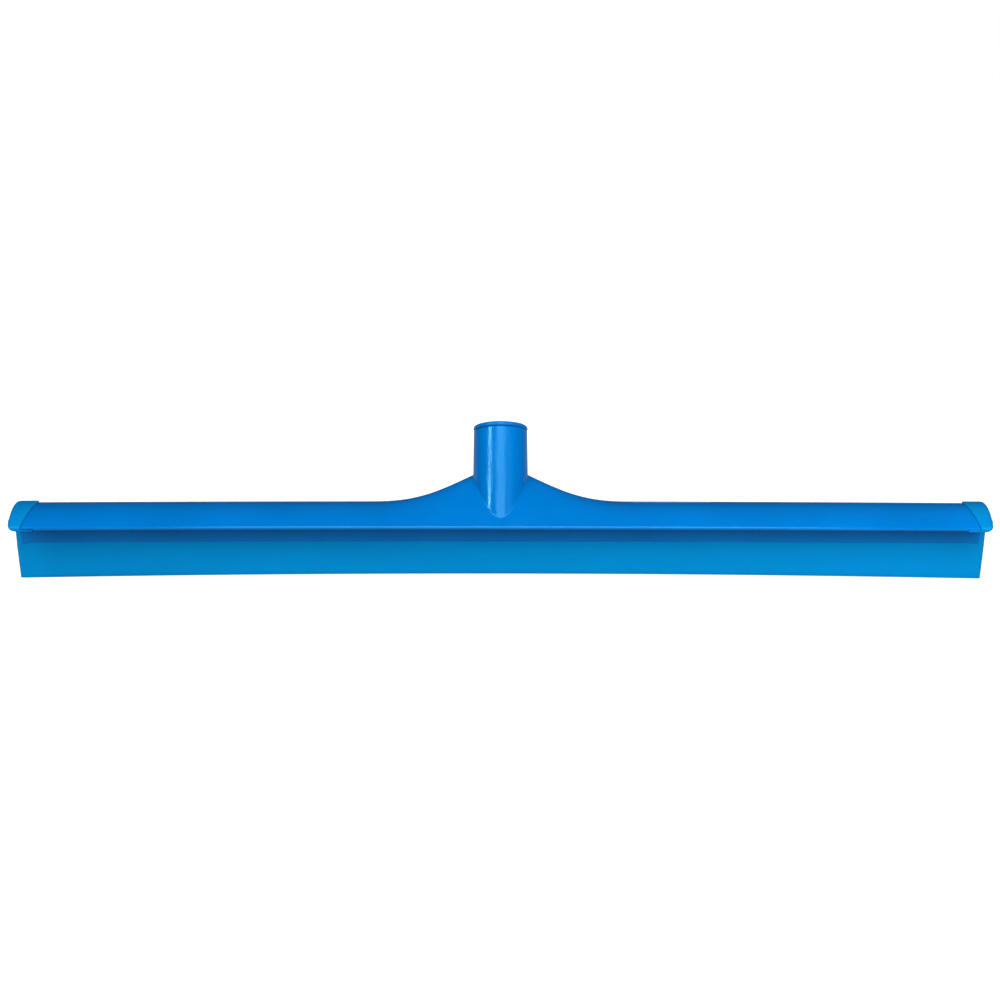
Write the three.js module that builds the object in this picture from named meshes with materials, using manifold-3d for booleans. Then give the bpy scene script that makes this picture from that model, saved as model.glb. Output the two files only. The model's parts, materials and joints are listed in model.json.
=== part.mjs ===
// Floor squeegee head, 600 mm wide: a plastic head with an arched hood, a web under it and a leaning
// pole socket, a threaded bush in the socket, and a rubber blade with rubber caps on the hood's ends.
// Millimetres. X runs along the blade, the front faces -Y and +Z is up. The shapes are drawn from the
// blade's plane (y = 0) and the middle of its edge (z = 0), and the whole group is then moved so that
// the origin is the centre of the pole socket's mouth.
import * as THREE from 'three';
import { mergeVertices } from 'three/addons/utils/BufferGeometryUtils.js';
import Module from 'manifold-3d';

// Overall
const overallLength = 600; // over the end caps
const endDrop = 1; // the moulding's ends hang this far below its middle
const gap = 0.3; // between two pieces that touch

// Hood: an arched shell with full-round lips
const hoodCrown = 45; // height of the crown above the blade's edge
const hoodRadius = 41;
const hoodDepth = 45; // front lip to back lip
const hoodWall = 2.8;
const hoodEndInset = 5.5; // the hood stops this far inside the end caps

// Shoulders: the hood sweeps up and back to the socket
const shoulderReach = 79.6; // from the middle, where the sweep begins
const shoulderStraight = 32.1; // from here inwards it is a straight ramp
const shoulderRise = 14.4;
const shoulderFade = 2.2; // how fast the sweep dies away towards the lips
const ridgeRound = 3; // of the ridge where both sweeps meet, inside the socket

// Web under the hood, with a keyhole groove for the blade's root
const webThickness = 7;
const webBottom = 22.8;
const webEndInset = 5.6;
const grooveNeck = 2.6;
const grooveBulbRadius = 2.2;
const grooveBulbHeight = 4.7; // from the web's bottom to the bulb's centre

// Blade
const bladeTipThickness = 2.6;
const bladeBevel = 1.5; // height of the bevel along the wiping edge
const bladeEdge = 1.6; // flat width left under the bevel
const bladeEndInset = 2.2; // at the wiping edge
const bladeEndSlope = 0.036; // the ends lean outwards by this much per mm of height
const bladeCamber = 2; // the wiping edge drops this much more at the ends
const flexDrop = 5.5; // from the blade's top down to the line that the lip flexes about
const flexGap = 0.8; // round the lip's top, which bends with the lip
const flexRelief = 45; // degrees, from level up to where the root's groove stops

// Pole socket
const socketLean = 30; // degrees back from upright
const socketWall = 2.9; // at the mouth
const socketDraft = 0.8; // the wall is this much thicker at the foot
const socketFootY = -1.4; // the foot, where the length starts, on the axis
const socketFootDrop = 2; // the foot's height below the hood's lips
const socketLength = 60.3; // along the axis, from the foot to the mouth
const socketBoreDepth = 42;
const socketUndersideRise = 3.3; // the socket's body is cut level this far above the lips

// Threaded bush
const bushWall = 1.9;
const bushRimHeight = 2.9;
const bushRimOverhang = 0.3; // over the socket's outside
const threadDiameter = 22.8; // at the root of the internal thread
const threadDepth = 1.2;
const threadPitch = 4;
const threadTurns = 6;
const threadLead = 3.2; // from the mouth to the thread's first turn

// End caps
const capProud = 1; // over the hood's outer face
const capSeatWall = 1.5; // what is left of the hood's wall under the caps
const capTipReach = 14.4; // how far the slanting edge reaches from the end at its tip
const capTipY = 10; // the tip is this far behind the crown
const capLipReach = 8; // and at the lips
const capReachCurve = 1.95;
const capStripReach = 15.8; // the strip under the lip
const capEdgeRadius = 3.2;

// Smoothness
const archSteps = 14;
const roundSteps = 32;
const threadSteps = 16; // in a turn
const capSteps = 36; // across the cap's slanting edge

// Worked out from the above
const halfLength = overallLength / 2;
const noseRadius = hoodWall / 2;
const archCentreZ = hoodCrown - hoodRadius;
const lipAngle = Math.asin((hoodDepth / 2 - noseRadius) / (hoodRadius - noseRadius));
const noseZ = archCentreZ + (hoodRadius - noseRadius) * Math.cos(lipAngle);
const lipBottom = noseZ - noseRadius;
const lean = THREE.MathUtils.degToRad(socketLean);
const socketAxis = new THREE.Vector3(0, Math.sin(lean), Math.cos(lean));
const socketFoot = new THREE.Vector3(0, socketFootY, lipBottom - socketFootDrop);
const mouth = socketFoot.clone().addScaledVector(socketAxis, socketLength);
const rimUnderside = socketLength - bushRimHeight;
const bushRadius = threadDiameter / 2 + bushWall;
const boreRadius = bushRadius + gap;
const socketMouthRadius = boreRadius + socketWall;
const socketFootRadius = socketMouthRadius + socketDraft;
const shoulderBack = socketFootY + Math.tan(lean) * (hoodCrown + shoulderRise - socketFoot.z);
const shoulderSlope = 1 / ((shoulderReach + shoulderStraight) / 2 - socketFootRadius);
const webHalf = halfLength - webEndInset;
const bladeTop = webBottom - gap;
const flexHeight = bladeTop - flexDrop;
const flexRadius = bladeHalfThickness(flexHeight); // of the lip's round top
const rootSkin = flexDrop - flexRadius - flexGap; // rubber left over the lip, under the web
const seatDepth = hoodWall - capSeatWall; // the hood's ends are reduced by this much under the caps
const capInside = seatDepth - gap; // the cap's inner face, below the hood's outer face
const capWallInside = halfLength - hoodEndInset + gap;

const wasm = await Module();
wasm.setup();

// ---------------------------------------------------------------- geometry helpers

// Turns the faces outwards if the closed geometry is inside out.
function facingOut(geometry) {
  const index = geometry.index.array;
  const at = geometry.attributes.position;
  const [a, b, c] = [new THREE.Vector3(), new THREE.Vector3(), new THREE.Vector3()];
  let volume = 0;
  for (let i = 0; i < index.length; i += 3) {
    a.fromBufferAttribute(at, index[i]);
    b.fromBufferAttribute(at, index[i + 1]);
    c.fromBufferAttribute(at, index[i + 2]);
    volume += a.dot(b.cross(c));
  }
  if (volume < 0) index.reverse();
  return geometry;
}

// A closed surface through rings of points that each have the same number of points.
// outlines are the flat outlines of the first and the last ring, which close its ends.
function loft(rings, outlines) {
  if (THREE.ShapeUtils.isClockWise(outlines[0])) {
    rings.forEach((ring) => ring.reverse());
    outlines.forEach((outline) => outline.reverse());
  }
  const count = rings[0].length;
  const faces = [];
  for (let r = 0; r + 1 < rings.length; r++) {
    for (let i = 0; i < count; i++) {
      const a = r * count + i;
      const b = r * count + ((i + 1) % count);
      faces.push(a, b, a + count, b, b + count, a + count);
    }
  }
  const last = (rings.length - 1) * count;
  for (const [a, b, c] of THREE.ShapeUtils.triangulateShape(outlines[0], [])) faces.push(a, c, b);
  for (const [a, b, c] of THREE.ShapeUtils.triangulateShape(outlines[1], [])) {
    faces.push(last + a, last + b, last + c);
  }
  const geometry = new THREE.BufferGeometry().setFromPoints(rings.flat());
  geometry.setIndex(faces);
  return geometry;
}

// The ends' drop, as a function of x, which every lengthwise piece follows.
function drop(x) {
  return endDrop * (x / halfLength) ** 2;
}

function onHead(x, y, z) {
  return new THREE.Vector3(x, y, z - drop(x));
}

// Lofts outlineAt(station), points of (y, z), along the stations, and puts each point where place says.
function loftAlong(stations, outlineAt, place = onHead) {
  const outlines = stations.map(outlineAt);
  const rings = outlines.map((outline, i) => outline.map((p) => place(stations[i], p.x, p.y)));
  return loft(rings, [outlines[0], outlines.at(-1)]);
}

function solid(geometry) {
  const bare = geometry.clone();
  bare.deleteAttribute('normal');
  bare.deleteAttribute('uv');
  const merged = facingOut(mergeVertices(bare, 1e-4));
  const index = merged.index.array;
  const triVerts = [];
  for (let i = 0; i < index.length; i += 3) {
    const [a, b, c] = index.subarray(i, i + 3);
    if (a !== b && b !== c && c !== a) triVerts.push(a, b, c);
  }
  return new wasm.Manifold(
    new wasm.Mesh({
      numProp: 3,
      vertProperties: new Float32Array(merged.attributes.position.array),
      triVerts: new Uint32Array(triVerts),
    }),
  );
}

function block(low, high) {
  const size = high.map((value, i) => value - low[i]);
  const middle = high.map((value, i) => (value + low[i]) / 2);
  return solid(new THREE.BoxGeometry(...size).translate(...middle));
}

// Steps from a to b, both included.
function steps(a, b, count) {
  return Array.from({ length: count + 1 }, (_, i) => a + ((b - a) * i) / count);
}

// A lathe turned about the socket's axis: profile points are (radius, distance along the axis).
function onSocket(geometry) {
  const turn = new THREE.Quaternion().setFromUnitVectors(new THREE.Vector3(0, 1, 0), socketAxis);
  return geometry.applyQuaternion(turn).translate(...socketFoot.toArray());
}

function turned(points) {
  const profile = points.map(([radius, along]) => new THREE.Vector2(radius, along));
  return solid(onSocket(new THREE.LatheGeometry(profile, roundSteps)));
}

// ---------------------------------------------------------------- hood section

// How far the section at x has swept up: from 0, past 1 at the socket's side, to a ridge inside it.
function sweep(x) {
  const out = Math.abs(x);
  if (out >= shoulderReach) return 0;
  const ease = shoulderReach - shoulderStraight;
  if (out > shoulderStraight) return (shoulderSlope * (shoulderReach - out) ** 2) / (2 * ease);
  return shoulderSlope * (shoulderStraight - Math.hypot(out, ridgeRound) + ease / 2);
}

// The outer face of the hood at x, for t from -1 at the front lip to 1 at the back lip, offset outwards.
function hoodPoint(x, t, offset = 0) {
  const angle = t * lipAngle;
  const lift = sweep(x) * (1 - t * t) ** shoulderFade;
  const liftSlope = -2 * t * shoulderFade * sweep(x) * Math.max(0, 1 - t * t) ** (shoulderFade - 1);
  const point = new THREE.Vector2(
    hoodRadius * Math.sin(angle) + shoulderBack * lift,
    archCentreZ + hoodRadius * Math.cos(angle) + shoulderRise * lift,
  );
  const tangent = new THREE.Vector2(
    hoodRadius * lipAngle * Math.cos(angle) + shoulderBack * liftSlope,
    -hoodRadius * lipAngle * Math.sin(angle) + shoulderRise * liftSlope,
  ).normalize();
  const normal = new THREE.Vector2(-tangent.y, tangent.x);
  return point.addScaledVector(normal, offset);
}

// Points of an arc about (y, z); angles are measured from +Z towards +Y.
function arc(y, z, radius, from, to, count) {
  return steps(from, to, count).map(
    (a) => new THREE.Vector2(y + radius * Math.sin(a), z + radius * Math.cos(a)),
  );
}

// The hood's wall, from lip to lip and back, with round noses.
function shellOutline(x) {
  const outer = steps(-1, 1, archSteps).map((t) => hoodPoint(x, t));
  const inner = steps(1, -1, archSteps).map((t) => hoodPoint(x, t, -hoodWall));
  const noseY = hoodPoint(x, 1, -noseRadius).x;
  const backNose = arc(noseY, noseZ, noseRadius, lipAngle, lipAngle + Math.PI, 6).slice(1, -1);
  const frontNose = backNose.map((p) => new THREE.Vector2(-p.x, p.y)).reverse();
  return [...outer, ...backNose, ...inner, ...frontNose];
}

// Everything under the hood's outer face down to the lips, offset outwards all round.
function filledOutline(x, offset) {
  const outer = steps(-1, 1, archSteps).map((t) => hoodPoint(x, t, offset));
  const noseY = hoodPoint(x, 1, -noseRadius).x;
  const back = arc(noseY, noseZ, noseRadius + offset, lipAngle, Math.PI, 4).slice(1);
  const front = back.map((p) => new THREE.Vector2(-p.x, p.y)).reverse();
  return [...outer, ...back, ...front];
}

// Stations from -reach to reach, close together at the shoulders.
function lengthStations(reach) {
  const middle = steps(0, socketFootRadius, 3);
  const shoulder = steps(socketFootRadius, shoulderReach, 9).slice(1);
  const arm = steps(shoulderReach, reach, 3).slice(1);
  const half = [...middle, ...shoulder, ...arm];
  return [...half.slice(1).map((x) => -x).reverse(), ...half];
}

// ---------------------------------------------------------------- head

// The blade's root fits this keyhole; slack widens it.
function keyhole(slack) {
  const neck = grooveNeck / 2 - gap + slack;
  const bulb = grooveBulbRadius - gap + slack;
  const centre = webBottom + grooveBulbHeight;
  const from = Math.PI - Math.asin(neck / bulb);
  const round = arc(0, centre, bulb, from, -from, 8);
  const foot = bladeTop - rootSkin / 2;
  return [new THREE.Vector2(-neck, foot), new THREE.Vector2(neck, foot), ...round];
}

function webSolid() {
  const half = webThickness / 2;
  const rectangle = (bottom, top) => () => [
    new THREE.Vector2(-half, bottom),
    new THREE.Vector2(half, bottom),
    new THREE.Vector2(half, top),
    new THREE.Vector2(-half, top),
  ];
  const middle = (lipBottom + hoodCrown - hoodWall) / 2;
  const tall = hoodCrown + shoulderRise;
  const lower = solid(loftAlong(steps(-webHalf, webHalf, 6), rectangle(webBottom, middle)));
  const upper = solid(loftAlong(lengthStations(webHalf), rectangle(lipBottom + 1, tall)));
  const under = solid(loftAlong(lengthStations(halfLength), (x) => filledOutline(x, -seatDepth)));
  const groove = solid(loftAlong(steps(-halfLength, halfLength, 6), () => keyhole(gap)));
  return lower.add(upper.intersect(under)).subtract(groove);
}

// How far the cap reaches from the object's end, at y across the hood.
function capReach(y) {
  const span = y < capTipY ? hoodDepth / 2 + capTipY : hoodDepth / 2 - capTipY;
  const share = Math.min(1, Math.abs(y - capTipY) / span) ** capReachCurve;
  return THREE.MathUtils.lerp(capTipReach, capLipReach, share);
}

// From the cap's slanting edge to past the object's end, and the strip under the lip.
// slack moves its edge inwards, towards the middle of the head.
function capZone(side, slack) {
  const low = lipBottom - hoodWall - endDrop;
  const high = hoodCrown + hoodWall;
  const outside = halfLength + hoodWall;
  const across = steps(-hoodDepth, hoodDepth, capSteps);
  const plan = new THREE.Shape([
    new THREE.Vector2(side * outside, -hoodDepth),
    ...across.map((y) => new THREE.Vector2(side * (halfLength - capReach(y) - slack), y)),
    new THREE.Vector2(side * outside, hoodDepth),
  ]);
  const skin = new THREE.ExtrudeGeometry(plan, { depth: high - low, bevelEnabled: false });
  const ends = [side * (halfLength - capStripReach - slack), side * outside];
  const strip = block(
    [Math.min(...ends), -hoodDepth, low],
    [Math.max(...ends), hoodDepth, lipBottom + capInside + slack - endDrop],
  );
  return solid(skin.translate(0, 0, low)).add(strip);
}

// What is cut from the hood's end so that the cap's skin sits on it.
function capSeat(side) {
  const from = halfLength - 2 * capTipReach;
  const stations = [side * from, side * (halfLength + hoodWall)];
  const all = block(
    [Math.min(...stations), -hoodDepth, lipBottom - 2 * hoodWall],
    [Math.max(...stations), hoodDepth, hoodCrown + 2 * hoodWall],
  );
  const kept = solid(loftAlong(steps(...stations, 4), (x) => filledOutline(x, -seatDepth)));
  return capZone(side, gap).intersect(all.subtract(kept));
}

function socketBody() {
  const body = turned([
    [0, -socketFootRadius],
    [socketFootRadius, -socketFootRadius],
    [socketFootRadius, 0],
    [socketMouthRadius, rimUnderside - gap],
    [0, rimUnderside - gap],
  ]);
  const wide = 2 * socketFootRadius;
  const underside = lipBottom + socketUndersideRise;
  return body.intersect(block([-wide, -hoodDepth, underside], [wide, 2 * hoodDepth, 2 * mouth.z]));
}

function socketBore() {
  return turned([
    [0, socketLength - socketBoreDepth],
    [boreRadius, socketLength - socketBoreDepth],
    [boreRadius, socketLength],
    [0, socketLength],
  ]);
}

function head() {
  const hood = solid(loftAlong(lengthStations(halfLength - hoodEndInset), shellOutline));
  return hood
    .subtract(capSeat(-1))
    .subtract(capSeat(1))
    .add(webSolid())
    .add(socketBody())
    .subtract(socketBore());
}

// ---------------------------------------------------------------- threaded bush

// One right-hand ridge wound inside the bush, fading out over half a turn at both ends.
function threadRidge() {
  const total = threadTurns * threadSteps;
  const start = socketLength - threadLead - threadTurns * threadPitch;
  const profile = (step) => {
    const fade = Math.min(1, step / (threadSteps / 2), (total - step) / (threadSteps / 2));
    const crest = threadDiameter / 2 - threadDepth * Math.max(fade, 0.05);
    const root = threadDiameter / 2 + bushWall / 3;
    return [
      [root, -0.35 * threadPitch],
      [crest, -0.12 * threadPitch],
      [crest, 0.12 * threadPitch],
      [root, 0.35 * threadPitch],
    ];
  };
  const rings = steps(0, total, total).map((step) => {
    const angle = (2 * Math.PI * step) / threadSteps;
    const along = start + (threadPitch * step) / threadSteps;
    return profile(step).map(
      ([r, z]) => new THREE.Vector3(r * Math.sin(angle), along + z, r * Math.cos(angle)),
    );
  });
  const flat = (step) => profile(step).map(([r, z]) => new THREE.Vector2(r, z));
  return solid(onSocket(loft(rings, [flat(0), flat(total)])));
}

function bush() {
  const bottom = socketLength - socketBoreDepth + gap;
  const inner = threadDiameter / 2;
  const rim = socketMouthRadius + bushRimOverhang;
  const bead = bushRimHeight / 2;
  const beadArc = steps(-Math.PI / 2, Math.PI / 2, 6).map((a) => [
    rim - bead + bead * Math.cos(a),
    rimUnderside + bead + bead * Math.sin(a),
  ]);
  const body = turned([
    [inner, bottom],
    [bushRadius, bottom],
    [bushRadius, rimUnderside],
    ...beadArc,
    [inner + 0.6, socketLength],
    [inner, socketLength - 0.6],
    [inner, bottom],
  ]);
  return body.add(threadRidge());
}

// ---------------------------------------------------------------- rubber blade

function bladeHalfLength(z) {
  return halfLength - bladeEndInset + bladeEndSlope * z;
}

function bladeHalfThickness(z) {
  const share = (z - bladeBevel) / (bladeTop - bladeBevel);
  return THREE.MathUtils.lerp(bladeTipThickness, webThickness, share) / 2;
}

// s runs from -1 to 1 along the blade, whose ends lean and whose edge is cambered.
function onBlade(s, y, z) {
  const x = s * bladeHalfLength(z);
  const camber = bladeCamber * s * s * Math.max(0, 1 - z / bladeTop);
  return new THREE.Vector3(x, y, z - drop(x) - camber);
}

function bladeLipOutline() {
  const tip = bladeTipThickness / 2;
  return [
    new THREE.Vector2(-bladeEdge / 2, 0),
    new THREE.Vector2(bladeEdge / 2, 0),
    new THREE.Vector2(tip, bladeBevel),
    ...arc(0, flexHeight, flexRadius, Math.PI / 2, -Math.PI / 2, 12),
    new THREE.Vector2(-tip, bladeBevel),
  ];
}

// The part of the blade above the flexing lip, hollowed for the lip's round top.
function bladeBodyOutline() {
  const relief = Math.PI / 2 - THREE.MathUtils.degToRad(flexRelief);
  const hollow = arc(0, flexHeight, flexRadius + flexGap, -relief, relief, 8);
  const skirt = bladeHalfThickness(hollow[0].y);
  return [
    ...hollow,
    new THREE.Vector2(skirt, hollow[0].y),
    new THREE.Vector2(webThickness / 2, bladeTop),
    new THREE.Vector2(-webThickness / 2, bladeTop),
    new THREE.Vector2(-skirt, hollow[0].y),
  ];
}

// A post at each end closes the web's end, up to the end cap.
function bladePost(side) {
  const half = webThickness / 2;
  const bottom = bladeTop - 1.5;
  const top = lipBottom - capProud - gap;
  const inside = webHalf + gap;
  const outline = () => [
    new THREE.Vector2(-half, bladeTop),
    new THREE.Vector2(-half + 0.4, bottom),
    new THREE.Vector2(half - 0.4, bottom),
    new THREE.Vector2(half, bladeTop),
    new THREE.Vector2(half, top),
    new THREE.Vector2(-half, top),
  ];
  const place = (u, y, z) => onHead(side * THREE.MathUtils.lerp(inside, bladeHalfLength(z), u), y, z);
  return solid(loftAlong([0, 1], outline, place));
}

const bladeStations = steps(-1, 1, 25);

function bladeRoot() {
  const body = solid(loftAlong(bladeStations, bladeBodyOutline, onBlade));
  const stem = solid(loftAlong(steps(-webHalf - 2 * gap, webHalf + 2 * gap, 6), () => keyhole(0)));
  return body.add(stem).add(bladePost(-1)).add(bladePost(1));
}

function bladeLip() {
  return solid(loftAlong(bladeStations, bladeLipOutline, onBlade));
}

// ---------------------------------------------------------------- end caps

function endCap(side) {
  const inner = halfLength - 1.5 * capTipReach;
  const roundFrom = halfLength - capEdgeRadius;
  const turns = steps(0, Math.PI / 2, 5);
  const stations = [inner, ...turns.map((a) => roundFrom + capEdgeRadius * Math.sin(a))];
  const outline = (x) => {
    const beyond = Math.max(0, x - roundFrom);
    const round = capEdgeRadius - Math.sqrt(Math.max(0, capEdgeRadius ** 2 - beyond ** 2));
    return filledOutline(halfLength, capProud - Math.min(round, noseRadius + capProud - 0.2));
  };
  const place = (x, y, z) => onHead(side * x, y, z);
  const blank = solid(loftAlong(stations, outline, place));
  const hollowStations = steps(side * (inner - 1), side * capWallInside, 4);
  const hollow = solid(loftAlong(hollowStations, (x) => filledOutline(x, -capInside)));
  const slot = block(
    [-webHalf - gap, -webThickness / 2 - gap, 0],
    [webHalf + gap, webThickness / 2 + gap, hoodCrown - hoodWall],
  );
  return blank.intersect(capZone(side, 0)).subtract(hollow).subtract(slot);
}

// ---------------------------------------------------------------- materials and assembly

const polypropylene = new THREE.MeshStandardMaterial({ color: 0x0068b8, roughness: 0.28, metalness: 0 });
const rubber = new THREE.MeshStandardMaterial({ color: 0x007abf, roughness: 0.5, metalness: 0 });

function mesh(name, body, material) {
  const { numProp, vertProperties, triVerts } = body.getMesh();
  const points = new Float32Array((vertProperties.length / numProp) * 3);
  for (let i = 0; i < points.length / 3; i++) {
    points.set(vertProperties.subarray(i * numProp, i * numProp + 3), i * 3);
  }
  const geometry = new THREE.BufferGeometry();
  geometry.setAttribute('position', new THREE.BufferAttribute(points, 3));
  geometry.setIndex(new THREE.BufferAttribute(triVerts, 1));
  geometry.computeVertexNormals();
  const made = new THREE.Mesh(geometry, material);
  made.name = name;
  return made;
}

const squeegee = new THREE.Group();
squeegee.position.copy(mouth).negate();
squeegee.add(
  mesh('head', head(), polypropylene),
  mesh('threaded_bush', bush(), polypropylene),
  mesh('blade_root', bladeRoot(), rubber),
  mesh('blade_lip', bladeLip(), rubber),
  mesh('left_end_cap', endCap(-1), rubber),
  mesh('right_end_cap', endCap(1), rubber),
);

const part = new THREE.Group();
part.add(squeegee);
export default part;
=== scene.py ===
"""Floor squeegee head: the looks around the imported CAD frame.

The head, the bush, the blade and the end caps are drawn in millimetres, from the blade's plane (y = 0)
and the middle of its edge (z = 0), as the CAD part is, and are then put into the frame in metres.
Most sizes are the CAD part's; those of the shoulders, the caps and the web's bottom differ a little.
The front faces -Y.
"""
import json
import math

import bmesh
import bpy
import numpy as np
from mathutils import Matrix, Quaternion, Vector


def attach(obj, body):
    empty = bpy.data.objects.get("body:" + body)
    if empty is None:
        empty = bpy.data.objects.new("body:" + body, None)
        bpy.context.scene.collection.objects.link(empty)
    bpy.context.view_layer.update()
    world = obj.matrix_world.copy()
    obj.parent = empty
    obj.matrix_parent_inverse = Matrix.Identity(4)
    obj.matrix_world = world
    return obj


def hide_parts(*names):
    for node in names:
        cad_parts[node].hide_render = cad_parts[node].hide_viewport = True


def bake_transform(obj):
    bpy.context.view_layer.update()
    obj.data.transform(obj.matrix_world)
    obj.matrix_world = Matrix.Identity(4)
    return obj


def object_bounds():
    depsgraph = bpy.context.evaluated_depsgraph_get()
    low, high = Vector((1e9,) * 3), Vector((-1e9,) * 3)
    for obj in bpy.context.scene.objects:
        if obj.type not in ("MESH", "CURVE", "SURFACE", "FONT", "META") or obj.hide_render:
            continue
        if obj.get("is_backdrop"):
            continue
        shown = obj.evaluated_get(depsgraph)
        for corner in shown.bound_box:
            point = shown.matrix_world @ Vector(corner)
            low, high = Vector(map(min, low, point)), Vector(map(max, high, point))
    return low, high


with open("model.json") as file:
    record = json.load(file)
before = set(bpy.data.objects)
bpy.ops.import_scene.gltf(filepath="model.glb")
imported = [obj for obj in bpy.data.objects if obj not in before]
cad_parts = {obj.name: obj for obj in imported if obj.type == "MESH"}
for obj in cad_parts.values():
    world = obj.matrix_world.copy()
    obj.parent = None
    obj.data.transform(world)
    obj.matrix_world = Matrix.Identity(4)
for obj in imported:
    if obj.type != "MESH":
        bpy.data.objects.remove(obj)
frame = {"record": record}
cad_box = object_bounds()
mounts = {mount["name"]: mount for mount in frame["record"]["mounts"]}

# ---------------------------------------------------------------- sizes, in millimetres

MM = 0.001  # in the frame's metres
EDGE = np.array(mounts["blade_edge"]["pos_m"])  # the middle of the blade's edge, in the frame

HALF_LENGTH = cad_box[1].x / MM
END_DROP = 1.0
CLEAR = 1.0  # how far a cutter reaches past what it cuts

# Hood
HOOD_CROWN = 45.0
HOOD_RADIUS = 41.0
HOOD_DEPTH = 45.0
HOOD_WALL = 2.8
HOOD_END_INSET = 5.5
SHOULDER_REACH = 79.3
SHOULDER_STRAIGHT = 31.8
SHOULDER_RISE = 14.4
SHOULDER_FADE = 1.9
CHEEK_X = 14.0  # the hood is fuller this far from its middle, beside the socket's foot
CHEEK_WIDTH = 9.0
CHEEK_FADE = 0.9
VALLEY = 0.8  # and lower in the middle, as a share of the sweep
VALLEY_WIDTH = 5.0
RIDGE_ROUND = 3.0

# Web and the groove in it
WEB_THICKNESS = 7.0
WEB_BOTTOM = 22.2
WEB_HALF_LENGTH = 294.8  # at the web's bottom
WEB_END_SLOPE = 0.1
GROOVE_NECK = 2.6
GROOVE_RADIUS = 2.2
GROOVE_HEIGHT = 4.7
STEM_GAP = 0.3  # between the groove and the rubber in it
SEAM = 0.08  # what shows between the blade and the web
END_SAG = {-1: 1.2, 1: 0.4}  # the web's bottom edge sags by this much at each end
SAG_LENGTH = 9.0

# Pole socket and bush
SOCKET_LEAN = math.radians(30)
SOCKET_FOOT_Y = -1.4
SOCKET_FOOT_DROP = 2.0  # below the lips
SOCKET_LENGTH = 60.3
SOCKET_FOOT_RADIUS = 17.3
SOCKET_TOP_RADIUS = 16.5
SOCKET_UNDERSIDE_RISE = 3.3  # above the lips
BORE_RADIUS = 13.6
BORE_DEPTH = 42.0
CREASE_FILLET = 0.9
SOCKET_EDGE = 0.3  # radius of the wall's edge under the rim
CORE_INSET = 0.35  # the core under the hood is inside the wall by this much
CORE_TOP = 30.0
MOTTLE_FROM = (50, 62)  # the mottle sets in between these heights over the blade's edge
BUSH_RADIUS = 13.3
RIM_HEIGHT = 2.9
RIM_RADIUS = 16.8
RIM_GAP = 0.25
RIM_CHAMFER = 0.6
RIM_FLAT = 1.2  # around the chamfer
THREAD_RADIUS = 11.4
THREAD_DEPTH = 1.2
THREAD_PITCH = 4.0
THREAD_TURNS = 6
THREAD_LEAD = 3.2
THREAD_FOOT = 0.35  # half widths, as shares of the pitch
THREAD_CREST = 0.12

# Blade
BLADE_TIP = 2.6
BLADE_BEVEL = 1.5
BLADE_EDGE_FLAT = 1.6
BLADE_HALF_LENGTH = 297.8  # at the wiping edge
BLADE_END_SLOPE = 0.036
BLADE_CAMBER = 2.0
BLADE_CHAMFER = 1.8  # along the blade, at its ends
BLADE_CHAMFER_DEPTH = 0.8
BLADE_CORNER = 0.25  # how much thinner the very end is on each side
BLADE_CORNER_LENGTH = 0.3
FLAT_ROUND_IN, FLAT_ROUND_UP = 0.2, 0.12  # at the sides of the edge's flat
BEVEL_ROUND_IN, BEVEL_ROUND_DOWN, BEVEL_ROUND_UP = 0.15, 0.2, 0.35  # at the top of the bevel
LARGEST_ROUND = 0.7  # of the half thickness there
POST_SINK = 1.5  # how far the posts reach down into the blade
POST_INSET = 0.02  # inside the blade's faces
STEM_SINK = 1.0

# End caps
CAP_PROUD = 1.0
CAP_SKIN_INSIDE = 1.0
CAP_SEAT = 1.3
CAP_GAP = 0.2
CAP_TIP_REACH = 14.2
CAP_TIP_Y = 10.0  # the tip is this far behind the crown
CAP_LIP_REACH = 8.0
CAP_REACH_CURVE = 1.7
CAP_SLIT = 0.9  # how much the gap opens at the cap's tip
CAP_SLIT_LENGTH = 7.0
CAP_SLIT_DEPTH = 2.3
CAP_SLIT_FALL = math.radians(18.5)  # the slit's floor falls this steeply towards the back
CAP_BOTTOM_PROUD = 0.1
CAP_STRIP_REACH = 15.8
CAP_EDGE_RADIUS = 2.6
CAP_CORNER_RADIUS = 5.4  # of the end face's bottom edge
CAP_NOSE = 0.2  # the least radius that is left round the lips
CAP_VOXEL = 0.35
CAP_SMOOTHING = 0.5
CAP_SMOOTH_PASSES = 5

# Blank pad, a shallow recess in the hood to the right of the socket
PAD_X = (81.6, 130.0)
PAD_T = (-0.08, 0.3)
PAD_DEPTH = 0.25

# Worked out from the above
NOSE_RADIUS = HOOD_WALL / 2
ARCH_CENTRE = HOOD_CROWN - HOOD_RADIUS
LIP_ANGLE = math.asin((HOOD_DEPTH / 2 - NOSE_RADIUS) / (HOOD_RADIUS - NOSE_RADIUS))
NOSE_Y = HOOD_DEPTH / 2 - NOSE_RADIUS
NOSE_Z = ARCH_CENTRE + (HOOD_RADIUS - NOSE_RADIUS) * math.cos(LIP_ANGLE)
LIP_BOTTOM = NOSE_Z - NOSE_RADIUS
SOCKET_FOOT = np.array([0.0, SOCKET_FOOT_Y, LIP_BOTTOM - SOCKET_FOOT_DROP])
SOCKET_UNDERSIDE = LIP_BOTTOM + SOCKET_UNDERSIDE_RISE
AXIS = np.array([0.0, math.sin(SOCKET_LEAN), math.cos(SOCKET_LEAN)])
ACROSS = np.array([0.0, math.cos(SOCKET_LEAN), -math.sin(SOCKET_LEAN)])  # the socket's back
ALONG_X = np.array([1.0, 0.0, 0.0])
SHOULDER_BACK = SOCKET_FOOT[1] + math.tan(SOCKET_LEAN) * (HOOD_CROWN + SHOULDER_RISE - SOCKET_FOOT[2])
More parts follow.
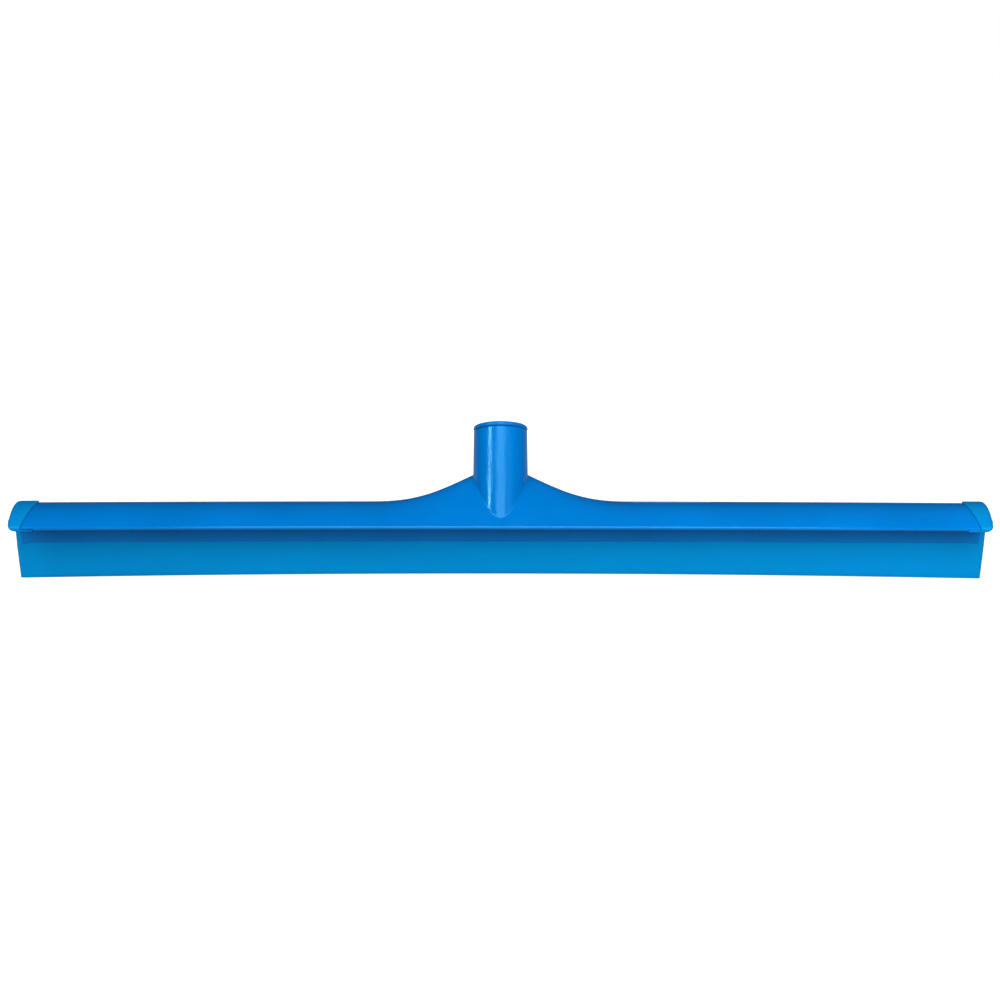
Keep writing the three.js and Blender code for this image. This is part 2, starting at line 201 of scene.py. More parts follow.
SHOULDER_SLOPE = 1 / ((SHOULDER_REACH + SHOULDER_STRAIGHT) / 2 - SOCKET_FOOT_RADIUS)
SOCKET_TOP = SOCKET_LENGTH - RIM_HEIGHT - RIM_GAP
BLADE_TOP = WEB_BOTTOM - SEAM
POST_TOP = LIP_BOTTOM - CAP_BOTTOM_PROUD - SEAM

# Fineness
ARCH_STEPS = 24
ROUND_STEPS = 4 * ARCH_STEPS  # the middle patch has ARCH_STEPS on each of its four sides
PATCH_REACH = 45.0  # half width of the middle patch, around the socket
PROBE = 0.02  # a small share of the way to the patch's border
LARGEST_FILLET = 0.4  # as a share of the same way
WALL_SHARES = (0.015, 0.05, 0.12, 0.25, 0.45, 0.7, 0.97)
END_INSETS = (0, 0.1, 0.3, 0.9)  # where the blade's rounded ends are cut into sections
SHARP_ANGLE = math.radians(35)


# ---------------------------------------------------------------- mesh helpers

def grid(points, closed=False):
    """Vertices and faces of a sheet through rows of points; closed joins each row's ends."""
    rows, columns = points.shape[:2]
    spans = columns if closed else columns - 1
    faces = []
    for row in range(rows - 1):
        for column in range(spans):
            a = row * columns + column
            b = row * columns + (column + 1) % columns
            faces.append((a, b, b + columns, a + columns))
    return points.reshape(-1, 3), faces


def mesh_of(name, *sheets):
    """One closed mesh from sheets that share their borders; open ends are closed by flat faces."""
    made = bmesh.new()
    for points, faces in sheets:
        corners = [made.verts.new(point) for point in points]
        for face in faces:
            made.faces.new([corners[i] for i in face])
    bmesh.ops.remove_doubles(made, verts=made.verts, dist=1e-3)
    bmesh.ops.holes_fill(made, edges=[edge for edge in made.edges if edge.is_boundary])
    bmesh.ops.recalc_face_normals(made, faces=made.faces)
    mesh = bpy.data.meshes.new(name)
    made.to_mesh(mesh)
    made.free()
    return mesh


def solid(name, *sheets):
    piece = bpy.data.objects.new(name, mesh_of(name, *sheets))
    bpy.context.scene.collection.objects.link(piece)
    return piece


def tube(name, rings):
    """A closed solid through rings of points."""
    return solid(name, grid(np.array(rings), closed=True))


def bake(piece):
    """Turns the piece's modifiers into its own mesh."""
    evaluated = piece.evaluated_get(bpy.context.evaluated_depsgraph_get())
    mesh = bpy.data.meshes.new_from_object(evaluated)
    piece.modifiers.clear()
    piece.data = mesh


def combine(piece, operation, *others):
    """Joins the others to the piece, cuts them from it, or keeps what they share."""
    for other in others:
        modifier = piece.modifiers.new("combine", "BOOLEAN")
        modifier.operation = operation
        modifier.solver = "MANIFOLD"
        modifier.object = other
        bake(piece)
        bpy.data.objects.remove(other)
    return piece


def on_section(x, outline):
    """Points (x, y, z) of an outline of (y, z) points at x."""
    outline = np.asarray(outline)
    return np.column_stack([np.full(len(outline), x), outline])


def spread(low, high, step):
    """Even stations from low to high, no further apart than step."""
    return np.linspace(low, high, max(1, math.ceil(abs(high - low) / step)) + 1)


def arc(y, z, radius, start, end, count):
    """Points (y, z) of an arc; angles are measured from +Z towards +Y."""
    angles = np.linspace(start, end, count + 1)
    return np.column_stack([y + radius * np.sin(angles), z + radius * np.cos(angles)])


# ---------------------------------------------------------------- hood section

def drop(x):
    return END_DROP * (x / HALF_LENGTH) ** 2


def sweep(x):
    """How far the section at x has swept up: about 1 at the socket's side, and less inside it."""
    out = np.abs(x)
    ease = SHOULDER_REACH - SHOULDER_STRAIGHT
    curve = SHOULDER_SLOPE * (SHOULDER_REACH - out) ** 2 / (2 * ease)
    straight = SHOULDER_SLOPE * (SHOULDER_STRAIGHT - np.hypot(out, RIDGE_ROUND) + ease / 2)
    straight = straight - VALLEY * np.exp(-(out / VALLEY_WIDTH) ** 2)
    return np.where(out > SHOULDER_REACH, 0.0, np.where(out > SHOULDER_STRAIGHT, curve, straight))


def fade(x):
    """How quickly the sweep at x dies away towards the lips."""
    return SHOULDER_FADE - CHEEK_FADE * np.exp(-((np.abs(x) - CHEEK_X) / CHEEK_WIDTH) ** 2)


def hood(x, t, offset=0.0):
    """Points of the hood's outer face at x, for t from -1 at the front lip to 1 at the back lip."""
    x, t = np.broadcast_arrays(np.asarray(x, float), np.asarray(t, float))
    inside = np.clip(1 - t * t, 0, None)
    lift = sweep(x) * inside ** fade(x)
    lift_slope = -2 * t * fade(x) * sweep(x) * inside ** (fade(x) - 1)
    sine, cosine = np.sin(t * LIP_ANGLE), np.cos(t * LIP_ANGLE)
    y = HOOD_RADIUS * sine + SHOULDER_BACK * lift
    z = ARCH_CENTRE + HOOD_RADIUS * cosine + SHOULDER_RISE * lift
    run = HOOD_RADIUS * LIP_ANGLE * cosine + SHOULDER_BACK * lift_slope
    climb = -HOOD_RADIUS * LIP_ANGLE * sine + SHOULDER_RISE * lift_slope
    length = np.hypot(run, climb)
    return np.stack([x, y - offset * climb / length, z + offset * run / length], axis=-1)


def under_hood(x):
    """From the outer face's back edge round the back lip, over the inner face, round the front lip."""
    back = arc(NOSE_Y, NOSE_Z, NOSE_RADIUS, LIP_ANGLE, LIP_ANGLE + math.pi, 8)
    inner = hood(x, np.linspace(1, -1, ARCH_STEPS + 1), -HOOD_WALL)[:, 1:]
    front = back[::-1] * (-1, 1)
    return on_section(x, np.vstack([back, inner[1:-1], front]))


def filled(x, offset):
    """Everything under the hood's outer face down to the lips, offset outwards all round."""
    outer = hood(x, np.linspace(-1, 1, 2 * ARCH_STEPS + 1), offset)[:, 1:]
    back = arc(NOSE_Y, NOSE_Z, NOSE_RADIUS + offset, LIP_ANGLE, math.pi, 8)[1:]
    front = back[::-1] * (-1, 1)
    return on_section(x, np.vstack([outer, back, front]))


# ---------------------------------------------------------------- head

def socket_radius(along):
    return SOCKET_FOOT_RADIUS + (SOCKET_TOP_RADIUS - SOCKET_FOOT_RADIUS) * along / SOCKET_TOP


def on_socket(angle, along, radius):
    """Points about the socket's axis; angle 0 is +X and a quarter turn is the back."""
    angle, along, radius = np.broadcast_arrays(angle, along, radius)
    around = np.cos(angle)[..., None] * ALONG_X + np.sin(angle)[..., None] * ACROSS
    return SOCKET_FOOT + along[..., None] * AXIS + radius[..., None] * around


def socket_angles():
    """From the front right corner of the middle patch, towards the back."""
    return -math.pi / 4 + 2 * math.pi * np.arange(ROUND_STEPS) / ROUND_STEPS


def patch_border():
    """(x, t) along the middle patch's border, one for each socket angle."""
    up = np.linspace(-1, 1, ARCH_STEPS + 1)[:-1]
    one = np.ones(ARCH_STEPS)
    sides = [(one, up), (-up, one), (-one, -up), (up, -one)]
    return np.vstack([np.column_stack([PATCH_REACH * x, t]) for x, t in sides])


def crease():
    """(x, t) where the socket's wall meets the hood's outer face, one for each socket angle."""
    samples = np.linspace(-1, 1, 2001)
    found = []
    for angle in socket_angles():
        radius = SOCKET_FOOT_RADIUS
        for _ in range(4):
            x = radius * math.cos(angle)
            points = hood(x, samples)
            beyond = (points - SOCKET_FOOT) @ ACROSS - radius * math.sin(angle)
            t = np.interp(0, beyond, samples)
            radius = socket_radius((hood(x, t) - SOCKET_FOOT) @ AXIS)
        found.append((x, t))
    return np.array(found)


def patch_skin(border, root):
    """Rings from the patch's border in to the fillet, closer together towards the socket."""
    way = border - root
    reach = np.linalg.norm(hood(*(root + PROBE * way).T) - hood(*root.T), axis=1) / PROBE
    start = np.minimum(CREASE_FILLET / reach, LARGEST_FILLET)[:, None]
    shares = np.linspace(1, 0, 17) ** 1.25
    return [hood(*(root + (start + (1 - start) * share) * way).T) for share in shares]


def fillet(edge, corner, above):
    """Rings across the crease, from the hood's face round to the socket's wall."""
    shares = np.linspace(0, 1, 7)[1:]
    return [(1 - s) ** 2 * edge + 2 * s * (1 - s) * corner + s ** 2 * above for s in shares]


def socket_wall(angles, foot):
    """Rings up the socket's wall from its foot, and round its top edge."""
    rings = []
    for share in WALL_SHARES:
        along = foot + share * (SOCKET_TOP - foot)
        rings.append(on_socket(angles, along, socket_radius(along)))
    for turn in np.linspace(0, math.pi / 2, 4):
        along = SOCKET_TOP - SOCKET_EDGE * (1 - math.sin(turn))
        rings.append(on_socket(angles, along, SOCKET_TOP_RADIUS - SOCKET_EDGE * (1 - math.cos(turn))))
    return rings


def middle_patch():
    """The outer face around the socket, a fillet in the crease, and the socket's wall up to its top."""
    root, angles = crease(), socket_angles()
    corner = hood(*root.T)
    skin = patch_skin(patch_border(), root)
    foot = (corner - SOCKET_FOOT) @ AXIS + CREASE_FILLET
    above = on_socket(angles, foot, socket_radius(foot))
    rings = skin + fillet(skin[-1], corner, above) + socket_wall(angles, foot)
    return grid(np.array(rings), closed=True)


def arm_stations():
    near = spread(PATCH_REACH, SHOULDER_REACH + 3, 3)
    far = spread(SHOULDER_REACH + 3, HALF_LENGTH - HOOD_END_INSET, 9)
    return np.concatenate([near, far[1:]])


def hood_shell():
    middle = np.linspace(-PATCH_REACH, PATCH_REACH, ARCH_STEPS + 1)
    arm = arm_stations()
    lengthwise = np.concatenate([-arm[:0:-1], middle, arm[1:]])
    across = np.linspace(-1, 1, ARCH_STEPS + 1)
    under = grid(np.array([under_hood(x) for x in lengthwise]))
    right = grid(np.array([hood(x, across) for x in arm]))
    left = grid(np.array([hood(-x, across) for x in arm]))
    return solid("head_shell", middle_patch(), right, left, under)


def sag(x):
    """How far the web's bottom edge sags at x, near its two ends."""
    into = np.clip((np.abs(x) - WEB_HALF_LENGTH + SAG_LENGTH) / SAG_LENGTH, 0, 1)
    return np.where(x < 0, END_SAG[-1], END_SAG[1]) * into ** 1.5


def keyhole(slack, foot):
    """The outline of the blade's root, from its foot's left round its bulb; slack widens it."""
    neck = GROOVE_NECK / 2 + slack
    bulb = GROOVE_RADIUS + slack
    start = math.pi - math.asin(neck / bulb)
    centre = WEB_BOTTOM + GROOVE_HEIGHT
    round_part = arc(0, centre, bulb, -start, start, 12)
    return np.vstack([[(-neck, foot)], round_part, [(neck, foot)]])


def web_end(z):
    return WEB_HALF_LENGTH + WEB_END_SLOPE * (z - WEB_BOTTOM)


def web():
    half = WEB_THICKNESS / 2
    foot = [*keyhole(0, WEB_BOTTOM), (half, WEB_BOTTOM)]
    across = np.linspace(-1, 1, 401)
    rings = []
    for share in np.concatenate([-arm_shares()[::-1], [0.0], arm_shares()]):
        x = share * WEB_HALF_LENGTH
        wall = hood(x, across, -NOSE_RADIUS)
        top = [np.interp(side * half, wall[:, 1], wall[:, 2]) for side in (1, -1)]
        section = np.array([*foot, (half, top[0]), (-half, top[1]), (-half, WEB_BOTTOM)])
        low = section[:, 1] <= WEB_BOTTOM
        ring = on_section(x, section)
        ring[:, 0] = share * web_end(section[:, 1])
        ring[low, 2] -= sag(x)
        rings.append(ring)
    return tube("web", rings)


def arm_shares():
    """Lengthwise places as shares of the half length, closer together at the shoulders and the end."""
    near = spread(6, SHOULDER_REACH, 6)
    far = spread(SHOULDER_REACH, WEB_HALF_LENGTH - SAG_LENGTH, 20)[1:]
    end = spread(WEB_HALF_LENGTH - SAG_LENGTH, WEB_HALF_LENGTH, 1.5)[1:]
    return np.concatenate([near, far, end]) / WEB_HALF_LENGTH


def socket_core():
    """What closes the socket under the hood, cut level."""
    angles = socket_angles()
    radius = SOCKET_FOOT_RADIUS - CORE_INSET
    low = (SOCKET_UNDERSIDE - SOCKET_FOOT[2] - radius * np.sin(angles) * ACROSS[2]) / AXIS[2]
    return tube("core", [on_socket(angles, low, radius), on_socket(angles, CORE_TOP, radius)])


def socket_bore():
    angles = socket_angles()
    low, high = SOCKET_LENGTH - BORE_DEPTH, SOCKET_LENGTH
    return tube("bore", [on_socket(angles, low, BORE_RADIUS), on_socket(angles, high, BORE_RADIUS)])


def prism(name, outline, low, high):
    """An outline of (x, z) points, extruded from low to high along Y."""
    rings = [[(x, y, z) for x, z in outline] for y in (low, high)]
    return tube(name, rings)


def cap_edge(slack, slit):
    """(x, y) along the cap's slanting edge, from the front to the back; slit opens it at the tip."""
    y = np.linspace(-HOOD_DEPTH, HOOD_DEPTH, 91)
    from_tip = np.abs(y - CAP_TIP_Y)
    span = np.where(y < CAP_TIP_Y, HOOD_DEPTH / 2 + CAP_TIP_Y, HOOD_DEPTH / 2 - CAP_TIP_Y)
    share = np.clip(from_tip / span, 0, 1) ** CAP_REACH_CURVE
    opening = slack + slit * np.clip(1.5 - from_tip / CAP_SLIT_LENGTH, 0, 1)
    reach = CAP_TIP_REACH + (CAP_LIP_REACH - CAP_TIP_REACH) * share + opening
    return list(zip(HALF_LENGTH - reach, y))


def cap_zone(side, slack, slit=0.0):
    """From the cap's slanting edge to past the end, and the strip under the lip."""
    low, high = LIP_BOTTOM - HOOD_WALL, HOOD_CROWN + HOOD_WALL
    outside = HALF_LENGTH + HOOD_WALL
    plan = [(outside, -HOOD_DEPTH), *cap_edge(slack, slit), (outside, HOOD_DEPTH)]
    zone = tube("zone", [[(side * x, y, z) for x, y in plan] for z in (low, high)])
    strip_top = LIP_BOTTOM + CAP_SKIN_INSIDE + slack
    strip_end = HALF_LENGTH - CAP_STRIP_REACH - slack
    strip = [(outside, low), (outside, strip_top), (strip_end, strip_top), (strip_end, low)]
    under_lip = prism("strip", [(side * x, z) for x, z in strip], -HOOD_DEPTH, HOOD_DEPTH)
    return combine(zone, "UNION", under_lip)


def slit_floor(side):
    """What is cut from the hood's end for the open slit beside the cap's tip."""
    touch = HOOD_RADIUS * math.sin(CAP_SLIT_FALL)
    start = touch - math.sqrt(2 * HOOD_RADIUS * CAP_SLIT_DEPTH)
    top = HOOD_CROWN + HOOD_WALL
    height = ARCH_CENTRE + HOOD_RADIUS * math.cos(CAP_SLIT_FALL) - CAP_SLIT_DEPTH
    floor_at = [(y, height - math.tan(CAP_SLIT_FALL) * (y - touch)) for y in (start, HOOD_DEPTH)]
    outline = [*floor_at, (HOOD_DEPTH, top), (start, top)]
    stations = (HALF_LENGTH - 2 * CAP_TIP_REACH, HALF_LENGTH + HOOD_WALL)
    return tube("slit", [on_section(side * x, outline) for x in stations])


def cap_seat(side):
    """What is cut from the hood's end for the cap's skin."""
    stations = (HALF_LENGTH - 2 * CAP_TIP_REACH, HALF_LENGTH + HOOD_WALL)
    outer = tube("outer", [filled(side * x, HOOD_WALL) for x in stations])
    kept = tube("kept", [filled(side * x, -CAP_SEAT) for x in (stations[0] - CLEAR, stations[1] + CLEAR)])
    skin = combine(outer, "DIFFERENCE", kept)
    combine(skin, "UNION", slit_floor(side))
    return combine(skin, "INTERSECT", cap_zone(side, CAP_GAP, CAP_SLIT))


def pad_recess():
    """What is cut from the hood for the blank pad."""
    t = np.linspace(*PAD_T, 7)
    rings = []
    for x in spread(*PAD_X, 8):
        rings.append(np.vstack([hood(x, t, -PAD_DEPTH), hood(x, t[::-1], CLEAR)]))
    return tube("pad", rings)


def head():
    piece = hood_shell()
    combine(piece, "UNION", web(), socket_core())
    combine(piece, "DIFFERENCE", socket_bore(), pad_recess(), cap_seat(-1), cap_seat(1))
    return piece


# ---------------------------------------------------------------- threaded bush

def thread_height(angle, along):
    """How far the thread stands in from its root, from 0 to 1."""
    phase = along / THREAD_PITCH - angle / (2 * math.pi)
    off_crest = np.abs(phase - np.round(phase))
    ridge = np.clip((THREAD_FOOT - off_crest) / (THREAD_FOOT - THREAD_CREST), 0, 1)
    top = SOCKET_LENGTH - THREAD_LEAD
    bottom = top - THREAD_TURNS * THREAD_PITCH
    run_out = np.clip(np.minimum(along - bottom, top - along) / (THREAD_PITCH / 2), 0, 1)
    return ridge * run_out


def bush_outside(bottom):
    """(radius, along) up the bush, round the rim's bead and in to the mouth's chamfer."""
    rim_foot = SOCKET_LENGTH - RIM_HEIGHT
    bead = RIM_HEIGHT / 2
    mouth = THREAD_RADIUS + RIM_CHAMFER
    outline = [(BUSH_RADIUS, bottom), (BUSH_RADIUS, rim_foot)]
    for turn in np.linspace(-math.pi / 2, math.pi / 2, 13):
        radius = RIM_RADIUS - bead + bead * math.cos(turn)
        outline.append((radius, rim_foot + bead + bead * math.sin(turn)))
    return [*outline, (mouth + RIM_FLAT, SOCKET_LENGTH), (mouth, SOCKET_LENGTH)]


def bush():
    angles = 2 * math.pi * np.arange(128) / 128
    bottom = SOCKET_LENGTH - BORE_DEPTH + RIM_GAP
    rings = [on_socket(angles, along, radius) for radius, along in bush_outside(bottom)]
    for along in np.linspace(SOCKET_LENGTH - RIM_CHAMFER, bottom, 125):
        rings.append(on_socket(angles, along, THREAD_RADIUS - THREAD_DEPTH * thread_height(angles, along)))
    rings.append(rings[0])
    return solid("threaded_bush_fine", grid(np.array(rings), closed=True))


# ---------------------------------------------------------------- rubber blade

def blade_end(z):
    return BLADE_HALF_LENGTH + BLADE_END_SLOPE * z


def blade_half_thickness(z):
    share = (z - BLADE_BEVEL) / (BLADE_TOP - BLADE_BEVEL)
    return (BLADE_TIP + (WEB_THICKNESS - BLADE_TIP) * share) / 2


def blade_profile():
    """The back half of the blade's section, from its edge up: (half thickness, height)."""
    flat = BLADE_EDGE_FLAT / 2
    tip = blade_half_thickness(BLADE_BEVEL)
    edge = [(flat - FLAT_ROUND_IN, 0), (flat, FLAT_ROUND_UP)]
    bevel_top = (tip - BEVEL_ROUND_IN, BLADE_BEVEL - BEVEL_ROUND_DOWN)
    heights = np.linspace(BLADE_BEVEL + BEVEL_ROUND_UP, BLADE_TOP, 28)
    return np.array([*edge, bevel_top, *((blade_half_thickness(z), z) for z in heights)])


def end_round(inset):
    """How much thinner each side is at this distance from the blade's end."""
    chamfer = BLADE_CHAMFER_DEPTH * np.clip(1 - inset / BLADE_CHAMFER, 0, 1)
    return chamfer + BLADE_CORNER * np.clip(1 - inset / BLADE_CORNER_LENGTH, 0, 1) ** 2


def blade_insets():
    """Distances from the blade's end, up to its middle."""
    near = [*END_INSETS, BLADE_CHAMFER - 0.1, BLADE_CHAMFER + 0.2, 3.5]
    return np.concatenate([near, spread(5, 14, 1.5), spread(20, BLADE_HALF_LENGTH, 6)[:-1]])


def blade_ring(side, inset):
    half = blade_profile()
    outline = np.vstack([half, half[::-1] * (-1, 1)])
    thinner = np.minimum(end_round(inset), LARGEST_ROUND * np.abs(outline[:, 0]))
    outline[:, 0] -= np.sign(outline[:, 0]) * thinner
    y, z = outline.T
    x = side * (blade_end(z) - inset)
    share = (x / blade_end(z)) ** 2
    camber = BLADE_CAMBER * share * np.clip(1 - z / BLADE_TOP, 0, None)
    return np.column_stack([x, y, z - camber - sag(x) * z / BLADE_TOP])


def post(side):
    """The rubber that closes the web's end, from the blade's top up to the cap."""
    half = WEB_THICKNESS / 2
    low = BLADE_TOP - POST_SINK
    rings = []
    for inset in (*END_INSETS, BLADE_CHAMFER, None):
        thin = 0 if inset is None else end_round(inset)
        bottom = blade_half_thickness(low) - thin - POST_INSET
        top = half - thin
        outline = np.array([(-bottom, low), (bottom, low), (top, POST_TOP), (-top, POST_TOP)])
        z = outline[:, 1]
        x = web_end(z) + SEAM if inset is None else blade_end(z) - inset
        rings.append(np.column_stack([side * x, outline]))
    return tube("post", rings)


def stem():
    section = keyhole(-STEM_GAP, BLADE_TOP - STEM_SINK)
    return tube("stem", [on_section(x, section) for x in spread(-WEB_HALF_LENGTH, WEB_HALF_LENGTH, 50)])


def blade():
    insets = blade_insets()
    rings = [blade_ring(-1, inset) for inset in insets]
    rings += [blade_ring(1, inset) for inset in insets[::-1]]
    piece = tube("rubber_blade", rings)
    return combine(piece, "UNION", post(-1), post(1), stem())


# ---------------------------------------------------------------- end caps

def rounded_off(x, radius):
    """How much a rounded edge at the object's end takes away at x."""
    beyond = max(0, x - (HALF_LENGTH - radius))
    return radius - math.sqrt(max(0, radius ** 2 - beyond ** 2))


def cap_blank(side):
    start = HALF_LENGTH - 1.5 * CAP_TIP_REACH
    turns = np.linspace(0, math.pi / 2, 13)
    rings = []
    for x in [start, *(HALF_LENGTH - CAP_CORNER_RADIUS * (1 - np.sin(turns)))]:
        rounding = min(rounded_off(x, CAP_EDGE_RADIUS), NOSE_RADIUS + CAP_PROUD - CAP_NOSE)
        ring = filled(x, CAP_PROUD - rounding)
        lowest = LIP_BOTTOM - CAP_BOTTOM_PROUD + rounded_off(x, CAP_CORNER_RADIUS)
        ring[:, 2] = np.maximum(ring[:, 2], lowest)
        ring[:, 0] *= side
        rings.append(ring)
    return tube(f"end_cap_{'left' if side < 0 else 'right'}", rings)


def end_cap(side):
    start = HALF_LENGTH - 1.5 * CAP_TIP_REACH - CLEAR
    wall = HALF_LENGTH - HOOD_END_INSET + CAP_GAP
    hollow = tube("hollow", [filled(side * x, -CAP_SKIN_INSIDE) for x in (start, wall)])
    piece = combine(cap_blank(side), "INTERSECT", cap_zone(side, 0))
    combine(piece, "DIFFERENCE", hollow)
    remesh = piece.modifiers.new("remesh", "REMESH")
    remesh.mode = "VOXEL"
    remesh.voxel_size = CAP_VOXEL
    smooth = piece.modifiers.new("smooth", "SMOOTH")
    smooth.factor = CAP_SMOOTHING
    smooth.iterations = CAP_SMOOTH_PASSES
    bake(piece)
    return piece


# ---------------------------------------------------------------- materials

def node(owner, kind, **values):
    """A new node of a material or the world, with the given settings and input values."""
    made = owner.node_tree.nodes.new(kind)
    for name, value in values.items():
        if name in made.inputs:
            made.inputs[name].default_value = value
        else:
            setattr(made, name, value)
    return made


def shader(name, colour, roughness, tint=(1, 1, 1)):
    material = bpy.data.materials.new(name)
    material.use_nodes = True
    surface = material.node_tree.nodes["Principled BSDF"]
    surface.inputs["Base Color"].default_value = (*colour, 1)
    surface.inputs["Roughness"].default_value = roughness
    surface.inputs["Specular Tint"].default_value = (*tint, 1)
    return material


def own_place(material):
    return node(material, "ShaderNodeTexCoord").outputs["Object"]


def noise(material, scale, detail=2.0, stretch=(1, 1, 1)):
    """A noise in the object's own metres; stretch squeezes it along an axis."""
    links = material.node_tree.links
    mapping = node(material, "ShaderNodeMapping", Scale=stretch)
    texture = node(material, "ShaderNodeTexNoise", Scale=scale, Detail=detail)
    links.new(own_place(material), mapping.inputs["Vector"])
    links.new(mapping.outputs["Vector"], texture.inputs["Vector"])
    return texture.outputs[0]


def ramp(owner, factor, low, high, start=0.3, end=0.7):
    """The factor's range from start to end, turned into low to high."""
    made = node(owner, "ShaderNodeMapRange")
    for name, value in (("From Min", start), ("From Max", end), ("To Min", low), ("To Max", high)):
        made.inputs[name].default_value = value
    owner.node_tree.links.new(factor, made.inputs["Value"])
    return made.outputs["Result"]


def colours(material, factor, first, second):
    between = node(material, "ShaderNodeValToRGB")
    between.color_ramp.elements[0].color = (*first, 1)
    between.color_ramp.elements[1].color = (*second, 1)
    material.node_tree.links.new(factor, between.inputs[0])
    return between.outputs["Color"]


def times(material, first, second):
    product = node(material, "ShaderNodeMath", operation="MULTIPLY")
    material.node_tree.links.new(first, product.inputs[0])
    material.node_tree.links.new(second, product.inputs[1])
    return product.outputs[0]


def bumps(material, *layers):
    """Bump layers of (height, depth in metres), one on top of another."""
    links = material.node_tree.links
    below = None
    for height, depth in layers:
        bump = node(material, "ShaderNodeBump", Distance=depth, Strength=1.0)
        links.new(height, bump.inputs["Height"])
        if below:
            links.new(below, bump.inputs["Normal"])
        below = bump.outputs["Normal"]
    return below


def polypropylene():
    """Glossy moulded plastic: cloudiness, an orange-peel skin, fine scratches and a mottled socket."""
    material = shader("blue_polypropylene", (0.0, 0.13, 0.44), 0.15, (0.22, 0.75, 1))
    surface = material.node_tree.nodes["Principled BSDF"]
    links = material.node_tree.links
    cloud = ramp(material, noise(material, 22), 0, 1)
    colour = colours(material, cloud, (0.0, 0.126, 0.415), (0.0, 0.143, 0.468))
    links.new(colour, surface.inputs["Base Color"])
    scratches = noise(material, 500, 3, (0.03, 1, 1))
    links.new(ramp(material, scratches, 0.13, 0.2, 0.45, 0.75), surface.inputs["Roughness"])
    parts = node(material, "ShaderNodeSeparateXYZ")
    links.new(own_place(material), parts.inputs[0])
    low, high = EDGE[2] + MM * np.array(MOTTLE_FROM)
    on_socket_only = ramp(material, parts.outputs["Z"], 0, 1, low, high)
    mottle = times(material, noise(material, 750, 2, (1.4, 1, 0.6)), on_socket_only)
    skin = bumps(material, (noise(material, 130, 2), 0.00017), (mottle, 0.00013))
    links.new(skin, surface.inputs["Normal"])
    return material


def rubber(name, dark, light):
    """Satin rubber: soft flow marks along the head and a fine matt grain."""
    material = shader(name, light, 0.4, (0.05, 0.8, 1))
    surface = material.node_tree.nodes["Principled BSDF"]
    links = material.node_tree.links
    flow = ramp(material, noise(material, 40, 3, (0.25, 1, 1)), 0, 1)
    links.new(colours(material, flow, dark, light), surface.inputs["Base Color"])
    grain = noise(material, 2600, 2)
    links.new(ramp(material, grain, 0.36, 0.5), surface.inputs["Roughness"])
    skin = bumps(material, (noise(material, 90, 2, (0.3, 1, 1)), 0.00012), (grain, 0.00001))
    links.new(skin, surface.inputs["Normal"])
    return material


# ---------------------------------------------------------------- into the frame

def place(piece, material, replaced):
    """Puts a piece drawn in millimetres into the frame, with the ends' drop, and gives it its finish."""
    mesh = piece.data
    points = np.empty(3 * len(mesh.vertices))
    mesh.vertices.foreach_get("co", points)
    points = points.reshape(-1, 3)
    points[:, 2] -= drop(points[:, 0])
    mesh.vertices.foreach_set("co", (points * MM + EDGE).ravel())
    mesh.shade_smooth()
    mesh.set_sharp_from_angle(angle=SHARP_ANGLE)
    mesh.materials.clear()
    mesh.materials.append(material)
    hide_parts(*replaced)
    return piece


# ---------------------------------------------------------------- scene

def camera():
    distance = 1.5
    width_in_view = 0.6210
    elevation = math.radians(18.5)
    target_rise = 0.0455  # over the blade's edge, as the camera sees it
    target_left = 0.0003
    tilt = math.radians(0.05)
    data = bpy.data.cameras.new("camera")
    data.sensor_width = 36
    data.lens = data.sensor_width * distance / width_in_view
    made = bpy.data.objects.new("camera", data)
    bpy.context.scene.collection.objects.link(made)
    back = Vector((0, -math.cos(elevation), math.sin(elevation)))
    up = Vector((0, math.sin(elevation), math.cos(elevation)))
    target = Vector(EDGE) + target_rise * up - Vector((target_left, 0, 0))
    made.location = target + distance * back
    made.rotation_mode = "QUATERNION"
    made.rotation_quaternion = Quaternion(back, tilt) @ (-back).to_track_quat("-Z", "Y")
    bpy.context.scene.camera = made


def area_light(name, azimuth, elevation, distance, size, power):
    """A softbox that faces the object; azimuth 0 is the front and positive is to the right."""
    data = bpy.data.lights.new(name, "AREA")
    data.shape = "RECTANGLE"
    data.size, data.size_y = size
    data.energy = power
    made = bpy.data.objects.new(name, data)
    bpy.context.scene.collection.objects.link(made)
    a, e = math.radians(azimuth), math.radians(elevation)
    away = Vector((math.sin(a) * math.cos(e), -math.cos(a) * math.cos(e), math.sin(e)))
    made.location = Vector(EDGE) + distance * away
    made.rotation_mode = "QUATERNION"
    made.rotation_quaternion = away.to_track_quat("Z", "Y")
    return made


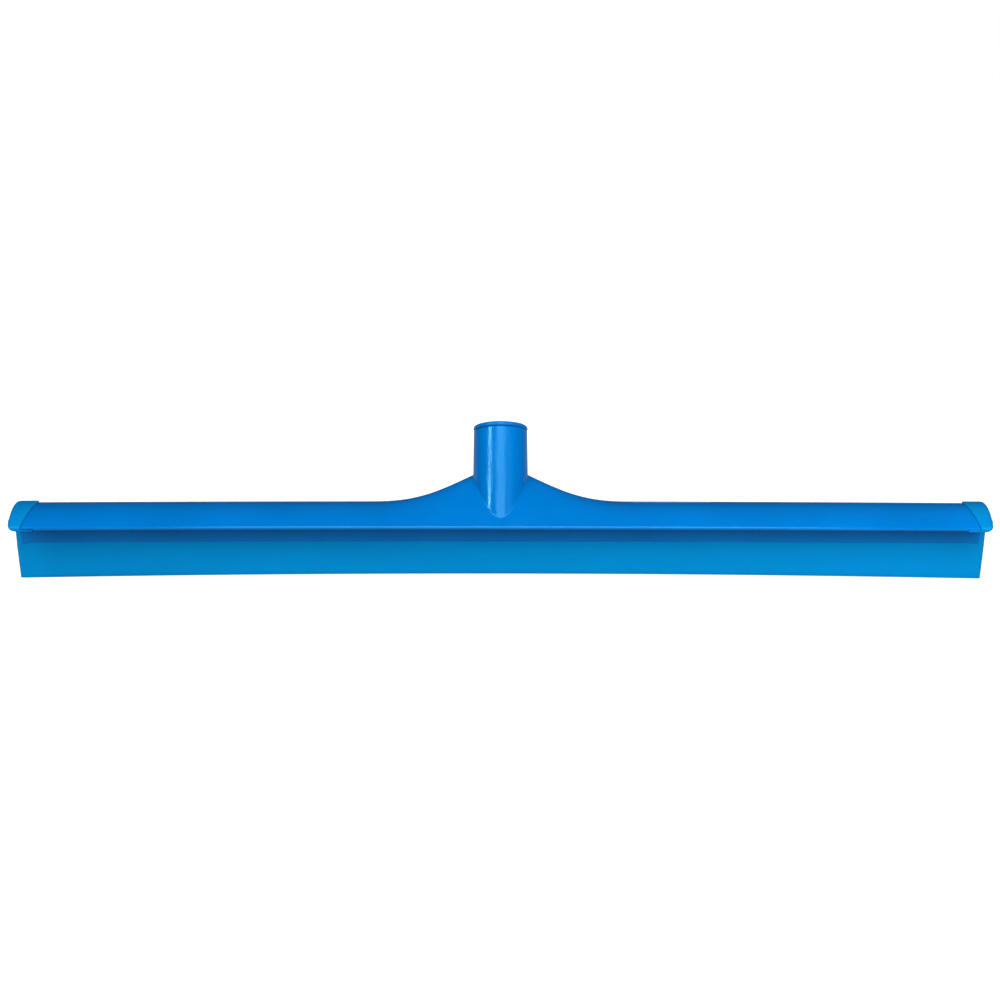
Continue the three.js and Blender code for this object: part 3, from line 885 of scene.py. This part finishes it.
def studio():
    """A world that only the camera sees as white, and softboxes; the fills don't show in gloss."""
    dim_light = 0.015
    world = bpy.data.worlds.new("studio")
    world.use_nodes = True
    background = world.node_tree.nodes["Background"]
    background.inputs["Color"].default_value = (1, 1, 1, 1)
    seen = node(world, "ShaderNodeLightPath").outputs["Is Camera Ray"]
    strength = ramp(world, seen, dim_light, 1.0, 0, 1)
    world.node_tree.links.new(strength, background.inputs["Strength"])
    bpy.context.scene.world = world
    bpy.context.scene.view_settings.view_transform = "Standard"
    area_light("key", azimuth=1, elevation=42, distance=1.2, size=(0.72, 1.3), power=11.7)
    area_light("strip", azimuth=-57, elevation=32, distance=1.2, size=(0.017, 1.0), power=9)
    side = area_light("side_fill", azimuth=46, elevation=30, distance=0.75, size=(0.3, 0.5), power=3.9)
    back = area_light("back_fill", azimuth=170, elevation=45, distance=1.6, size=(1.2, 0.8), power=4)
    for fill in (side, back):
        fill.visible_glossy = False


def floor(low):
    """A floor that the camera sees as white; it lights the object by bounce and shows dimly in gloss."""
    grey, roughness = (0.27, 0.27, 0.27), 0.9
    glow_in_gloss = 0.08
    bpy.ops.mesh.primitive_plane_add(size=24, location=(0, 4, low))
    made = bpy.context.object
    made.name = "floor"
    material = shader("floor", grey, roughness)
    links = material.node_tree.links
    surface = material.node_tree.nodes["Principled BSDF"]
    surface.inputs["Emission Color"].default_value = (1, 1, 1, 1)
    ray = node(material, "ShaderNodeLightPath")
    strength = node(material, "ShaderNodeMath", operation="MULTIPLY_ADD")
    strength.inputs[1].default_value = glow_in_gloss
    links.new(ray.outputs["Is Glossy Ray"], strength.inputs[0])
    links.new(ray.outputs["Is Camera Ray"], strength.inputs[2])
    links.new(strength.outputs[0], surface.inputs["Emission Strength"])
    made.data.materials.append(material)
    made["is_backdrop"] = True


FLOOR_GAP = 0.0002  # metres under the lowest point

camera()
plastic = polypropylene()
soft = rubber("blue_rubber", (0.0, 0.205, 0.51), (0.0, 0.225, 0.56))
# The caps' rubber is the blade's rubber made darker: painted shade, to tone down the light that the caps
# catch at their angle.
shaded_cap_rubber = rubber("blue_rubber_shaded_cap", (0.0, 0.165, 0.43), (0.0, 0.185, 0.48))

shell = place(head(), plastic, ["head"])
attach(shell, "head")

insert = place(bush(), plastic, ["threaded_bush"])
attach(insert, "head")

wiper = place(blade(), soft, ["blade_root", "blade_lip"])
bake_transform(wiper)

for side, cad_node in ((-1, "left_end_cap"), (1, "right_end_cap")):
    cap = place(end_cap(side), shaded_cap_rubber, [cad_node])
    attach(cap, "head")

studio()
floor(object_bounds()[0].z - FLOOR_GAP)
